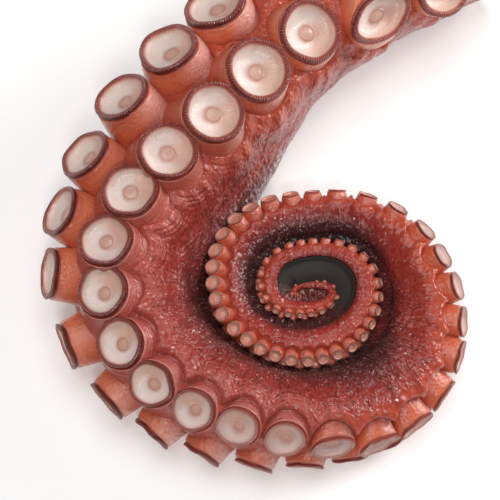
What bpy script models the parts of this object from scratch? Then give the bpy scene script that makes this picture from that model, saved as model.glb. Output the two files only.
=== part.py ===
"""Cooked octopus arm, curled up on its side on a flat surface.

One fused solid: a tapering arm that follows a hand-laid route, thick and cut off
square at its base, wound into three turns at its tip, with two rows of stalked
suckers along its outer side. Lengths here are millimetres until the mesh is made,
in a frame whose Z points up from the surface that the arm lies on.
"""
import math

import bmesh
import bpy
import numpy as np
from mathutils import Vector

METRES_PER_MM = 0.001

# Middle of the resting arm's box in the frame that the route is laid out in
BOX_MIDDLE = (10.36, 31.34)

# The arm's centre line from its cut base to its tip: x, y, height, half thickness
ROUTE = (
    (77.7, 117.0, 20.0, 21.4),
    (52.4, 104.3, 20.0, 21.4),
    (29.3, 88.9, 20.0, 21.4),
    (9.5, 70.4, 20.0, 21.3),
    (-4.7, 52.4, 20.0, 21.0),
    (-19.7, 32.6, 19.5, 20.4),
    (-31.7, 12.3, 18.5, 19.4),
    (-37.2, -8.7, 17.5, 18.6),
    (-33.2, -27.5, 16.0, 17.2),
    (-21.1, -42.2, 14.5, 15.6),
    (-4.3, -51.7, 13.0, 13.9),
    (14.8, -54.9, 12.0, 12.3),
    (33.5, -50.5, 11.2, 11.0),
    (48.0, -38.3, 10.8, 9.7),
    (53.7, -17.9, 10.5, 8.4),
    (47.5, 1.5, 10.5, 7.3),
    (34.6, 10.2, 10.8, 6.4),
    (20.2, 11.0, 11.0, 5.9),
    (6.8, 7.8, 11.0, 5.9),
    (-2.6, 0.0, 11.0, 5.8),
    (-6.0, -12.2, 11.2, 5.7),
    (-2.8, -24.2, 11.5, 5.6),
    (6.2, -30.8, 11.7, 5.4),
    (17.0, -32.6, 12.0, 5.1),
    (28.2, -29.0, 12.2, 4.6),
    (35.0, -20.3, 12.5, 4.1),
    (35.7, -10.5, 12.8, 3.8),
    (30.2, -3.6, 13.0, 3.4),
    (21.2, -1.6, 13.0, 3.0),
    (10.0, -4.9, 12.7, 3.1),
    (6.7, -10.9, 12.0, 3.0),
    (8.0, -17.1, 11.2, 2.8),
    (11.8, -19.3, 10.7, 2.6),
    (17.2, -19.8, 10.2, 2.4),
    (23.1, -18.3, 9.7, 2.1),
    (26.4, -14.9, 9.2, 1.9),
    (25.2, -12.2, 8.9, 1.7),
    (21.3, -11.2, 8.6, 1.5),
    (17.0, -11.3, 8.4, 1.3),
    (14.4, -12.8, 8.2, 1.15),
    (15.5, -14.8, 8.0, 1.0),
    (18.5, -15.6, 7.8, 0.85),
    (21.1, -14.9, 7.6, 0.75),
    (21.3, -13.3, 7.4, 0.6),
    (19.6, -12.7, 7.3, 0.5),
)

# The arm's skin: sides of its round section, ring spacing as a share of its half thickness
SKIN_SIDES = 11
RING_STEP = 1.05
SHORTEST_RING_STEP = 2.0

# Suckers along one row: distance along the arm, distance from one sucker to the next
FIRST_SUCKER = 28.3
LAST_SUCKER = 554.0
SUCKER_PITCH = (
    (0, 30.5), (60, 28.5), (120, 20.4), (165, 15.0), (215, 11.8), (250, 11.7),
    (300, 8.1), (345, 8.4), (385, 5.0), (430, 4.0), (500, 3.4), (530, 3.1), (545, 2.2), (560, 1.8),
)
# The lower row runs ahead of the upper one, in shares of that distance
ROW_LEAD = ((0, 0.45), (160, 0.45), (175, 0.2), (195, 0.2), (212, 0.3), (230, 0.4), (300, 0.5))
# Suckers: distance along the arm, width of the rim
SUCKER_WIDTH = (
    (0, 20.0), (60, 20.6), (110, 20.4), (150, 17.6), (180, 16.0), (205, 14.6), (240, 12.2),
    (300, 10.6), (330, 8.4), (350, 6.6), (365, 5.7), (385, 5.9), (405, 5.4), (430, 4.3),
    (480, 3.1), (530, 2.2), (560, 1.1),
)
# Suckers: distance along the arm, how far the rim stands off a round arm, in rim widths
SUCKER_REACH = (
    (0, 0.5), (90, 0.5), (130, 0.7), (170, 0.6), (205, 0.5), (235, 0.42), (262, 0.38),
    (284, 0.64), (312, 0.64), (345, 0.55), (400, 0.85), (430, 0.95), (460, 0.65), (560, 0.75),
)
# How each row sits round the arm: distance along it, angle up from the level outward side
UPPER_ROW = (
    (0, 146), (57, 138), (90, 112), (130, 106), (148, 97), (178, 76), (215, 52), (240, 50),
    (254, 42), (272, 8), (292, -2), (325, 40), (345, 38), (360, 22), (375, 28),
    (390, 38), (422, 40), (437, 18), (452, 5), (482, 17), (508, 8), (518, 34), (530, 40), (540, 25),
)
LOWER_ROW = (
    (0, 55), (120, 48), (150, 36), (170, 27), (192, 5), (215, -10), (256, -15), (292, -50),
    (400, -42), (412, -16), (440, -12), (468, -42), (498, -38), (510, -16), (560, -16),
)
# The lower row's stalks bend up from the skin: distance along the arm, degrees
LOWER_LEAN = ((0, 18), (160, 18), (192, 0))
# The side that carries the suckers is flatter: distance along the arm, share cut off
FLATNESS = ((0, 0.04), (120, 0.08), (230, 0.24), (300, 0.2), (541, 0.2))

# The low flank inside the curl spreads towards the next turn: distance along the arm, how
# far; it does so round this angle, and faster fading with a higher sharpness
INNER_SPREAD = (
    (90, 0), (130, 10), (200, 12), (260, 11), (385, 11), (420, 9), (450, 4), (470, 0),
)
SPREAD_MIDDLE = 222
SPREAD_SHARPNESS = 1.5
# Each row's suckers lean back towards the base: distance along the arm, degrees
UPPER_BACK = ((0, 0), (175, 0), (195, 16), (245, 18), (275, 5), (300, 0))
LOWER_BACK = ((0, 0), (188, 0), (197, -5), (208, 0), (220, 8), (232, 11), (262, 6), (290, 0))

# A sucker's profile: radii and lengths as shares of its width, heights as shares of the
# stalk between the arm and the rim
SUNK_FOOT = 0.3
FOOT_RADIUS = 0.56
WAIST_RADIUS = 0.48
WAIST_HEIGHT = 0.45
RIM_RADIUS = 0.5
RIM_THICKNESS = 0.13
MOUTH_RADIUS = 0.38
CUP_RADIUS = 0.29
CUP_DEPTH = 0.15
# Rim widths from which a sucker is turned with more sides and a fuller profile
LARGEST_SUCKER = 14.5
LARGE_SUCKER = 10.0
MIDDLE_SUCKER = 6.0

SKIN_COLOUR = (0.36, 0.07, 0.045, 1.0)
SKIN_ROUGHNESS = 0.32
# Height under which the resting arm is trimmed flat, and the trimming block's size
FLOOR_CUT = 0.35
SLAB_SIZE = 400.0
SAMPLES_PER_STATION = 24
SLIVER = 0.001
SHARP_ANGLE = 40


def clear_scene():
    """Remove every object, mesh and material that the file starts with."""
    for thing in list(bpy.data.objects):
        bpy.data.objects.remove(thing, do_unlink=True)


def by_distance(table, distance):
    """Read a value from a table of (distance, value) rows, straight between rows."""
    rows = np.array(table, dtype=float)
    return float(np.interp(distance, rows[:, 0], rows[:, 1]))


def smooth_route(points, samples):
    """Carry a smooth curve through the route's points, as cubic pieces.

    The parameter grows with the square root of each chord, and the slope at a
    point is the central difference of its neighbours.
    """
    points = np.array(points, dtype=float)
    chords = np.linalg.norm(np.diff(points[:, :2], axis=0), axis=1)
    knots = np.concatenate([[0.0], np.cumsum(np.sqrt(chords))])
    slopes = np.gradient(points, knots, axis=0)
    share = np.linspace(0.0, 1.0, samples, endpoint=False)[:, None]
    pieces = []
    for index in range(len(points) - 1):
        step = knots[index + 1] - knots[index]
        start = (2 * share**3 - 3 * share**2 + 1) * points[index]
        start = start + (share**3 - 2 * share**2 + share) * step * slopes[index]
        end = (3 * share**2 - 2 * share**3) * points[index + 1]
        end = end + (share**3 - share**2) * step * slopes[index + 1]
        pieces.append(start + end)
    pieces.append(points[-1:])
    return np.concatenate(pieces)


class Arm:
    """The arm's centre line, measured by the distance along it from the first point."""

    def __init__(self):
        self.line = smooth_route(ROUTE, SAMPLES_PER_STATION)
        self.line[:, 0] -= BOX_MIDDLE[0]
        self.line[:, 1] -= BOX_MIDDLE[1]
        steps = np.linalg.norm(np.diff(self.line[:, :3], axis=0), axis=1)
        self.distances = np.concatenate([[0.0], np.cumsum(steps)])
        self.length = float(self.distances[-1])
        self.along = np.gradient(self.line[:, :3], self.distances, axis=0)

    def at(self, distance):
        """Give the centre, half thickness, heading, outward and upward directions."""
        row = [float(np.interp(distance, self.distances, self.line[:, k])) for k in range(4)]
        heading = [np.interp(distance, self.distances, self.along[:, k]) for k in range(3)]
        centre = Vector(row[:3])
        heading = Vector(heading).normalized()
        outward = Vector((heading.y, -heading.x, 0.0)).normalized()
        upward = outward.cross(heading)
        return centre, row[3], heading, outward, upward

    def surface_radius(self, distance, angle):
        """Give the skin's distance from the centre line.

        It is less than the half thickness on the suckers' side and more on the flank
        that spreads.
        """
        radius = float(np.interp(distance, self.distances, self.line[:, 3]))
        upper = by_distance(UPPER_ROW, distance)
        lower = by_distance(LOWER_ROW, distance)
        facing = math.cos(angle - math.radians(0.5 * (upper + lower)))
        off = (angle - math.radians(SPREAD_MIDDLE) + math.pi) % (2 * math.pi) - math.pi
        inner = 0.0
        if abs(off) * SPREAD_SHARPNESS < 0.5 * math.pi:
            inner = by_distance(INNER_SPREAD, distance) * math.cos(SPREAD_SHARPNESS * off) ** 2
        flat = by_distance(FLATNESS, distance) * max(0.0, facing) ** 2
        return radius * (1.0 - flat) + inner


def ring_of(mesh, centre, across, over, radii):
    """Add one ring of vertices round a centre, one for each of the radii."""
    ring = []
    for side, radius in enumerate(radii):
        angle = 2 * math.pi * side / len(radii)
        place = centre + radius * (math.cos(angle) * across + math.sin(angle) * over)
        ring.append(mesh.verts.new(place * METRES_PER_MM))
    return ring


def join_rings(mesh, rings):
    """Span neighbouring rings with four-sided faces."""
    for lower, upper in zip(rings[:-1], rings[1:]):
        for side in range(len(lower)):
            after = (side + 1) % len(lower)
            mesh.faces.new((lower[side], lower[after], upper[after], upper[side]))


def close_to_point(mesh, ring, place):
    """Close a ring with a fan of triangles to one point."""
    tip = mesh.verts.new(place * METRES_PER_MM)
    for side in range(len(ring)):
        mesh.faces.new((ring[side], ring[(side + 1) % len(ring)], tip))


def finish_object(mesh, name, collection):
    """Point the faces outwards and put the mesh into a new object."""
    bmesh.ops.recalc_face_normals(mesh, faces=mesh.faces)
    data = bpy.data.meshes.new(name)
    mesh.to_mesh(data)
    mesh.free()
    made = bpy.data.objects.new(name, data)
    collection.objects.link(made)
    return made


def ring_places(arm):
    """Space the skin's rings by the arm's thickness, from the cut base to the tip."""
    places = [0.0]
    while True:
        radius = arm.at(places[-1])[1]
        place = places[-1] + max(RING_STEP * radius, SHORTEST_RING_STEP)
        if place > arm.length - SHORTEST_RING_STEP:
            return places
        places.append(place)


def build_skin(arm, collection):
    """Make the arm itself: rings along the route, a cut base and a pointed tip."""
    mesh = bmesh.new()
    turns = [2 * math.pi * side / SKIN_SIDES for side in range(SKIN_SIDES)]
    rings = []
    for place in ring_places(arm):
        centre, radius, heading, outward, upward = arm.at(place)
        radii = [arm.surface_radius(place, turn) for turn in turns]
        rings.append(ring_of(mesh, centre, outward, upward, radii))
    join_rings(mesh, rings)
    mesh.faces.new(rings[0])
    close_to_point(mesh, rings[-1], arm.at(arm.length)[0])
    return finish_object(mesh, "octopus_arm", collection)


def sucker_places():
    """Give each sucker's distance along the arm and the row that it stands in."""
    places = []
    place = FIRST_SUCKER - by_distance(SUCKER_PITCH, 0.0)
    while place < LAST_SUCKER:
        pitch = by_distance(SUCKER_PITCH, place)
        pitch = by_distance(SUCKER_PITCH, place + 0.5 * pitch)
        places.append((place, UPPER_ROW))
        places.append((place + by_distance(ROW_LEAD, place) * pitch, LOWER_ROW))
        place += pitch
    clear_of_cut = FOOT_RADIUS * by_distance(SUCKER_WIDTH, 0.0)
    return [(place, row) for place, row in places if place > clear_of_cut]


def sucker_profile(width, stalk):
    """Give a sucker's sides and its (radius, height) rings, fewer on a small one."""
    foot = (FOOT_RADIUS * width, -SUNK_FOOT * width)
    waist = (WAIST_RADIUS * width, WAIST_HEIGHT * stalk)
    under_rim = (RIM_RADIUS * width, stalk - RIM_THICKNESS * width)
    edge = (RIM_RADIUS * width, stalk)
    mouth = (MOUTH_RADIUS * width, stalk)
    cup = (CUP_RADIUS * width, stalk - CUP_DEPTH * width)
    if width > LARGEST_SUCKER:
        return 10, (foot, waist, under_rim, edge, mouth, cup)
    if width > LARGE_SUCKER:
        return 8, (foot, waist, under_rim, edge, mouth)
    if width > MIDDLE_SUCKER:
        return 6, (foot, waist, edge, mouth)
    return 5, (foot, edge)


def build_sucker(arm, place, row, name, collection):
    """Turn one sucker: a flared foot sunk into the arm, a stalk, a rim and its cup."""
    centre, radius, heading, outward, upward = arm.at(place)
    angle = math.radians(by_distance(row, place))
    lean = math.radians(by_distance(LOWER_LEAN, place)) if row is LOWER_ROW else 0.0
    surface = arm.surface_radius(place, angle)
    foot = centre + surface * (math.cos(angle) * outward + math.sin(angle) * upward)
    facing = math.cos(angle + lean) * outward + math.sin(angle + lean) * upward
    back = UPPER_BACK if row is UPPER_ROW else LOWER_BACK
    tilt = math.radians(by_distance(back, place))
    over = facing.cross(heading)
    facing = math.cos(tilt) * facing - math.sin(tilt) * heading
    heading = over.cross(facing)
    width = by_distance(SUCKER_WIDTH, place)
    stalk = radius + width * by_distance(SUCKER_REACH, place) - surface
    sides, profile = sucker_profile(width, stalk)
    mesh = bmesh.new()
    rings = []
    for ring_radius, height in profile:
        middle = foot + facing * height
        rings.append(ring_of(mesh, middle, heading, over, [ring_radius] * sides))
    join_rings(mesh, rings)
    mesh.faces.new(rings[0])
    close_to_point(mesh, rings[-1], foot + facing * (stalk - CUP_DEPTH * width))
    return finish_object(mesh, name, collection)


def apply_boolean(body, operation, collection=None, cutter=None):
    """Run one Boolean on the body and keep its result as the body's own mesh."""
    modifier = body.modifiers.new(operation.title(), "BOOLEAN")
    modifier.operation = operation
    if collection:
        modifier.operand_type = "COLLECTION"
        modifier.collection = collection
        modifier.use_self = True
    else:
        modifier.object = cutter
    bpy.context.view_layer.update()
    evaluated = body.evaluated_get(bpy.context.evaluated_depsgraph_get())
    result = bpy.data.meshes.new_from_object(evaluated)
    body.modifiers.remove(modifier)
    body.data = result
    result.name = body.name


def build_floor_slab(collection):
    """Make the block whose top face trims the arm's resting spots flat."""
    mesh = bmesh.new()
    bmesh.ops.create_cube(mesh, size=SLAB_SIZE * METRES_PER_MM)
    middle = (FLOOR_CUT - 0.5 * SLAB_SIZE) * METRES_PER_MM
    bmesh.ops.translate(mesh, vec=(0.0, 0.0, middle), verts=mesh.verts)
    return finish_object(mesh, "floor_slab", collection)


def fill_cavities(mesh):
    """Keep the outer shell only, so that pockets shut in between the turns are solid."""
    unseen = set(mesh.verts)
    shells = []
    while unseen:
        queue = [unseen.pop()]
        shell = list(queue)
        while queue:
            vertex = queue.pop()
            for edge in vertex.link_edges:
                other = edge.other_vert(vertex)
                if other in unseen:
                    unseen.remove(other)
                    queue.append(other)
                    shell.append(other)
        shells.append(shell)
    shells.sort(key=len)
    inner = [vertex for shell in shells[:-1] for vertex in shell]
    bmesh.ops.delete(mesh, geom=inner, context="VERTS")


def tidy_mesh(body):
    """Drop slivers, split the faces into triangles and stand the arm on zero."""
    mesh = bmesh.new()
    mesh.from_mesh(body.data)
    bmesh.ops.remove_doubles(mesh, verts=mesh.verts, dist=SLIVER * METRES_PER_MM)
    fill_cavities(mesh)
    bmesh.ops.dissolve_degenerate(mesh, edges=mesh.edges, dist=SLIVER * METRES_PER_MM)
    bmesh.ops.triangulate(mesh, faces=mesh.faces)
    lowest = min(vertex.co.z for vertex in mesh.verts)
    bmesh.ops.translate(mesh, vec=(0.0, 0.0, -lowest), verts=mesh.verts)
    mesh.to_mesh(body.data)
    mesh.free()


def skin_material():
    """Make the wet red-brown of the cooked skin."""
    material = bpy.data.materials.new("cooked_skin")
    material.use_nodes = True
    shader = material.node_tree.nodes["Principled BSDF"]
    shader.inputs["Base Color"].default_value = SKIN_COLOUR
    shader.inputs["Roughness"].default_value = SKIN_ROUGHNESS
    shader.inputs["Metallic"].default_value = 0.0
    return material


def main():
    """Build the arm and its suckers, fuse them and trim the underside."""
    clear_scene()
    scene = bpy.context.scene.collection
    suckers = bpy.data.collections.new("suckers")
    scene.children.link(suckers)
    arm = Arm()
    body = build_skin(arm, scene)
    for index, (place, row) in enumerate(sucker_places()):
        build_sucker(arm, place, row, f"sucker_{index}", suckers)
    apply_boolean(body, "UNION", collection=suckers)
    for thing in list(suckers.objects):
        bpy.data.objects.remove(thing, do_unlink=True)
    bpy.data.collections.remove(suckers)
    slab = build_floor_slab(scene)
    apply_boolean(body, "DIFFERENCE", cutter=slab)
    bpy.data.objects.remove(slab, do_unlink=True)
    tidy_mesh(body)
    body.data.materials.clear()
    body.data.materials.append(skin_material())
    body.data.shade_smooth()
    body.data.set_sharp_from_angle(angle=math.radians(SHARP_ANGLE))


main()
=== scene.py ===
"""Looks of the curled cooked octopus arm: wet skin, stalked suckers, floor, light and camera.

Lengths are millimetres until a mesh is made. The arm is described by two numbers: the
distance along its centre line from the cut base, and the angle round it, which is 0 on
the level outward side of the curl and 90 degrees on top.
"""
import logging
import math
from dataclasses import dataclass, field
from enum import Enum
from itertools import product
from typing import Union

import bpy
import numpy as np
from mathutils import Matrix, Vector


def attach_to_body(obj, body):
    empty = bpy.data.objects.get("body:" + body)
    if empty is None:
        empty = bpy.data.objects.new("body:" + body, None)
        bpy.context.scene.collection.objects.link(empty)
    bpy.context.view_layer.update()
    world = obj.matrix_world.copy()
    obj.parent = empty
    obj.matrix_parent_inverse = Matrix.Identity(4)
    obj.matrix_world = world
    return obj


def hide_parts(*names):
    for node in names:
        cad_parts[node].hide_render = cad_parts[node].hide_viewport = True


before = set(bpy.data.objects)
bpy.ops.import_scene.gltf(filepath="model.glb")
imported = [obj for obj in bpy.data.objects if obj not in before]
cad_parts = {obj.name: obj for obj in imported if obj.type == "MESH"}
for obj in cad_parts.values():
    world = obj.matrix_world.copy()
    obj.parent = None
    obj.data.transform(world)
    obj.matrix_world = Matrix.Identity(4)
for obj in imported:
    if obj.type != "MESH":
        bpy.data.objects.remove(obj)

Pair = tuple[float, float]
Triple = tuple[float, float, float]
Stops = tuple[tuple[float, Triple], ...]
Profile = tuple[tuple[float, float, float, float], ...]
Socket = bpy.types.NodeSocket
Input = Union[Socket, float, tuple[float, ...]]

LOG = logging.getLogger("octopus_arm")
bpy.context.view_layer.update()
METRES_PER_MM = 0.001
BODY = "root"
CAD_NODE = "octopus_arm"
WHITE = (1.0, 1.0, 1.0, 1.0)

# Number of the cut face's finish among the skin's two
CUT_FLESH = 1

# Millimetres: one step of the finishes' noise, and the widest rim on the arm
NOISE_STEP = 10.0
WIDEST_RIM = 20.0

# Middle of the CAD arm's box in the frame that the route is laid out in, and how far
# the CAD arm was trimmed underneath
ROUTE_MIDDLE = (10.36, 31.34)
FLOOR_TRIM = 0.35

# Centre line from the cut base to the tip: x, y, height, half thickness
STATIONS = (
    (77.7, 117.0, 20.0, 21.4), (52.4, 104.3, 20.0, 21.4), (29.3, 88.9, 20.0, 21.4),
    (9.5, 70.4, 20.0, 21.3), (-4.7, 52.4, 20.0, 21.0), (-19.7, 32.6, 19.5, 20.4),
    (-31.7, 12.3, 18.5, 19.4), (-37.2, -8.7, 17.5, 18.6), (-33.2, -27.5, 16.0, 17.2),
    (-21.1, -42.2, 14.5, 15.6), (-4.3, -51.7, 13.0, 13.9), (14.8, -54.9, 12.0, 12.3),
    (33.5, -50.5, 11.2, 11.0), (48.0, -38.3, 10.8, 9.7), (53.7, -17.9, 10.5, 8.4),
    (47.5, 1.5, 10.5, 7.3), (34.6, 10.2, 10.8, 6.4), (20.2, 11.0, 11.0, 5.9),
    (6.8, 7.8, 11.0, 5.9), (-2.6, 0.0, 11.0, 5.8), (-6.0, -12.2, 11.2, 5.7),
    (-2.8, -24.2, 11.5, 5.6), (6.2, -30.8, 11.7, 5.4), (17.0, -32.6, 12.0, 5.1),
    (28.2, -29.0, 12.2, 4.6), (35.0, -20.3, 12.5, 4.1), (35.7, -10.5, 12.8, 3.8),
    (30.2, -3.6, 13.0, 3.4), (21.2, -1.6, 13.0, 3.0), (10.0, -4.9, 12.7, 3.1),
    (6.7, -10.9, 12.0, 3.0), (8.0, -17.1, 11.2, 2.8), (11.8, -19.3, 10.7, 2.6),
    (17.2, -19.8, 10.2, 2.4), (23.1, -18.3, 9.7, 2.1), (26.4, -14.9, 9.2, 1.9),
    (25.2, -12.2, 8.9, 1.7), (21.3, -11.2, 8.6, 1.5), (17.0, -11.3, 8.4, 1.3),
    (14.4, -12.8, 8.2, 1.15), (15.5, -14.8, 8.0, 1.0), (18.5, -15.6, 7.8, 0.85),
    (21.1, -14.9, 7.6, 0.75), (21.3, -13.3, 7.4, 0.6), (19.6, -12.7, 7.3, 0.5),
)


def smooth_step(low: float, high: float, value: np.ndarray) -> np.ndarray:
    """Rise from 0 at low to 1 at high as 3t^2 - 2t^3.

    Args:
        low: value where the rise starts.
        high: value where the rise ends.
        value: one or many values.

    Returns:
        The share risen, for each value.
    """
    share = np.clip((np.asarray(value, float) - low) / (high - low), 0.0, 1.0)
    return share * share * (3.0 - 2.0 * share)


def cubic_pieces(rows: np.ndarray, knots: np.ndarray, samples: int) -> np.ndarray:
    """Draw cubic pieces through rows of values, with central slopes.

    A piece from a to b over a step h, t of the way, is (2t^3 - 3t^2 + 1) a
    + (t^3 - 2t^2 + t) h a' + (3t^2 - 2t^3) b + (t^3 - t^2) h b'.

    Args:
        rows: the values at the knots.
        knots: the rows' places, rising.
        samples: points taken on each piece.

    Returns:
        The rows along the pieces, up to the last knot's.
    """
    slopes = np.gradient(rows, knots, axis=0)
    share = np.linspace(0.0, 1.0, samples, endpoint=False)[None, :, None]
    step = np.diff(knots)[:, None, None]
    start = (2 * share**3 - 3 * share**2 + 1) * rows[:-1, None]
    start = start + (share**3 - 2 * share**2 + share) * step * slopes[:-1, None]
    end = (3 * share**2 - 2 * share**3) * rows[1:, None]
    end = end + (share**3 - share**2) * step * slopes[1:, None]
    return np.concatenate([(start + end).reshape(-1, rows.shape[1]), rows[-1:]])


def wrap_angle(angle: np.ndarray) -> np.ndarray:
    """Bring angles in radians into the turn from -pi to pi."""
    return (np.asarray(angle, float) + math.pi) % (2.0 * math.pi) - math.pi


def rest_on_floor(points: np.ndarray, softness: float = 0.5) -> np.ndarray:
    """Press what would sink into the floor flat: z becomes k log(1 + exp(z / k)).

    Args:
        points: positions in millimetres, last axis x, y, z.
        softness: k, the height over which the pressing fades out.

    Returns:
        The positions, all above the floor.
    """
    rested = points.copy()
    rested[..., 2] = softness * np.logaddexp(0.0, points[..., 2] / softness)
    return rested


@dataclass(frozen=True)
class Table:
    """Values at distances along the arm, read straight between rows."""

    rows: tuple[tuple[float, float], ...]

    def at(self, distance: np.ndarray) -> np.ndarray:
        """Read the table at one or many distances."""
        rows = np.array(self.rows, float)
        return np.interp(distance, rows[:, 0], rows[:, 1])


class LatticeNoise:
    """Smooth gradient noise on a whole-number lattice, the same on every run."""

    SIZE = 32

    def __init__(self, seed: int) -> None:
        """Draw one random slope for each lattice point."""
        draw = np.random.default_rng(seed)
        slopes = draw.normal(size=(self.SIZE, self.SIZE, self.SIZE, 3))
        self.slopes = slopes / np.linalg.norm(slopes, axis=-1, keepdims=True)

    def at(self, points: np.ndarray) -> np.ndarray:
        """Blend the slopes at the eight corners of each point's cell.

        Args:
            points: places in lattice steps, last axis of three.

        Returns:
            Noise from about -1 to 1, one value for each point.
        """
        cell = np.floor(points).astype(int)
        part = points - cell
        fade = part**3 * (part * (part * 6.0 - 15.0) + 10.0)
        total = np.zeros(points.shape[:-1])
        for corner in product((0, 1), repeat=3):
            place = (cell + corner) % self.SIZE
            slope = self.slopes[place[..., 0], place[..., 1], place[..., 2]]
            weight = np.where(corner, fade, 1.0 - fade).prod(axis=-1)
            total += weight * (slope * (part - corner)).sum(axis=-1)
        return total * 1.6


class Row(Enum):
    """The two rows of suckers, named by which lies higher as the arm rests."""

    UPPER = "upper"
    LOWER = "lower"


class Route:
    """The arm's centre line as cubic pieces through its stations."""

    def __init__(self, samples: int = 24) -> None:
        """Lay the line, its knots growing with the root of each chord.

        Args:
            samples: points taken on each piece.
        """
        points = np.array(STATIONS)
        points[:, :2] -= ROUTE_MIDDLE
        points[:, 2] -= FLOOR_TRIM
        chords = np.linalg.norm(np.diff(points[:, :2], axis=0), axis=1)
        knots = np.concatenate([[0.0], np.cumsum(np.sqrt(chords))])
        self.line = cubic_pieces(points, knots, samples)
        steps = np.linalg.norm(np.diff(self.line[:, :3], axis=0), axis=1)
        self.distances = np.concatenate([[0.0], np.cumsum(steps)])
        self.length = float(self.distances[-1])
        self.along = np.gradient(self.line[:, :3], self.distances, axis=0)

    def read(self, values: np.ndarray, distance: np.ndarray) -> np.ndarray:
        """Read columns of values, given along the line, at distances along it."""
        columns = [np.interp(distance, self.distances, column) for column in values.T]
        return np.stack(columns, axis=-1)

    def centre(self, distance: np.ndarray) -> np.ndarray:
        """Give the centre line's points at distances along it."""
        return self.read(self.line[:, :3], distance)

    def radius(self, distance: np.ndarray) -> np.ndarray:
        """Give the arm's half thickness at distances along it."""
        return np.interp(distance, self.distances, self.line[:, 3])

    def directions(self, distance: np.ndarray) -> tuple[np.ndarray, np.ndarray, np.ndarray]:
        """Give unit directions at distances along the line.

        Args:
            distance: one or many distances from the cut base.

        Returns:
            The heading, the level outward direction and the one square to both.
        """
        heading = self.read(self.along, distance)
        heading = heading / np.linalg.norm(heading, axis=-1, keepdims=True)
        level = [heading[..., 1], -heading[..., 0], np.zeros_like(heading[..., 0])]
        outward = np.stack(level, axis=-1)
        outward = outward / np.linalg.norm(outward, axis=-1, keepdims=True)
        return heading, outward, np.cross(outward, heading)


@dataclass(frozen=True)
class RowTables:
    """How one row's suckers stand along the arm: angles in degrees, the rest as shares.

    `angle` is where they sit round the arm and `lean` how far they bend up from there,
    `back` tilts them towards the base, `mound` is the skin's rise round a foot in rim
    widths, `sleeve` wraps the stalk in a collar and `squeeze` flattens the mouth.
    """

    angle: Table
    lean: Table
    back: Table
    mound: Table
    sleeve: Table
    squeeze: Table


UPPER_TABLES = RowTables(
    angle=Table((
        (0, 146), (57, 138), (90, 112), (130, 106), (148, 97), (178, 76), (215, 52), (240, 50),
        (254, 42), (272, 8), (292, -2), (325, 40), (345, 38), (360, 22), (375, 28), (390, 38),
        (422, 40), (437, 18), (452, 5), (482, 17), (508, 8), (518, 34), (530, 40), (540, 25),
    )),
    lean=Table((
        (0, 0), (355, 0), (370, 14), (392, 16), (404, 28), (450, 28), (470, 14), (495, 8), (508, 0),
    )),
    back=Table(((0, 0), (175, 0), (195, 16), (245, 18), (275, 5), (300, 0))),
    mound=Table((
        (0, 0.2), (90, 0.24), (140, 0.3), (190, 0.36), (245, 0.38), (290, 0.42), (400, 0.4), (560, 0.2),
    )),
    sleeve=Table(((0, 0), (100, 0), (150, 0.7), (185, 1), (250, 1), (268, 0))),
    squeeze=Table(((49, 0), (57, 0.34), (66, 0), (248, 0), (262, 0.4), (288, 0.4), (298, 0))),
)
LOWER_TABLES = RowTables(
    angle=Table((
        (0, 55), (120, 48), (150, 36), (170, 27), (192, 5), (215, -10), (256, -15), (292, -50),
        (400, -42), (412, -16), (440, -12), (468, -42), (498, -38), (510, -16), (560, -16),
    )),
    lean=Table(((0, 18), (160, 18), (192, 0))),
    back=Table(((0, 0), (188, 0), (197, -5), (208, 0), (220, 8), (232, 11), (262, 6), (290, 0))),
    mound=Table(((0, 0.2), (140, 0.2), (170, 0.13), (245, 0.13), (280, 0.3), (400, 0.3), (560, 0.2))),
    sleeve=Table(((0, 0),)),
    squeeze=Table(((0, 0),)),
)


@dataclass(frozen=True)
class Sucker:
    """One sucker's place on the arm and its main sizes."""

    place: float
    angle: float
    row: Row
    width: float
    stalk: float
    surface: float
    mound: float
    sleeve: float
    squeeze: float
    shift: tuple[float, float]
    foot: np.ndarray
    facing: np.ndarray
    heading: np.ndarray
    over: np.ndarray


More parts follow.
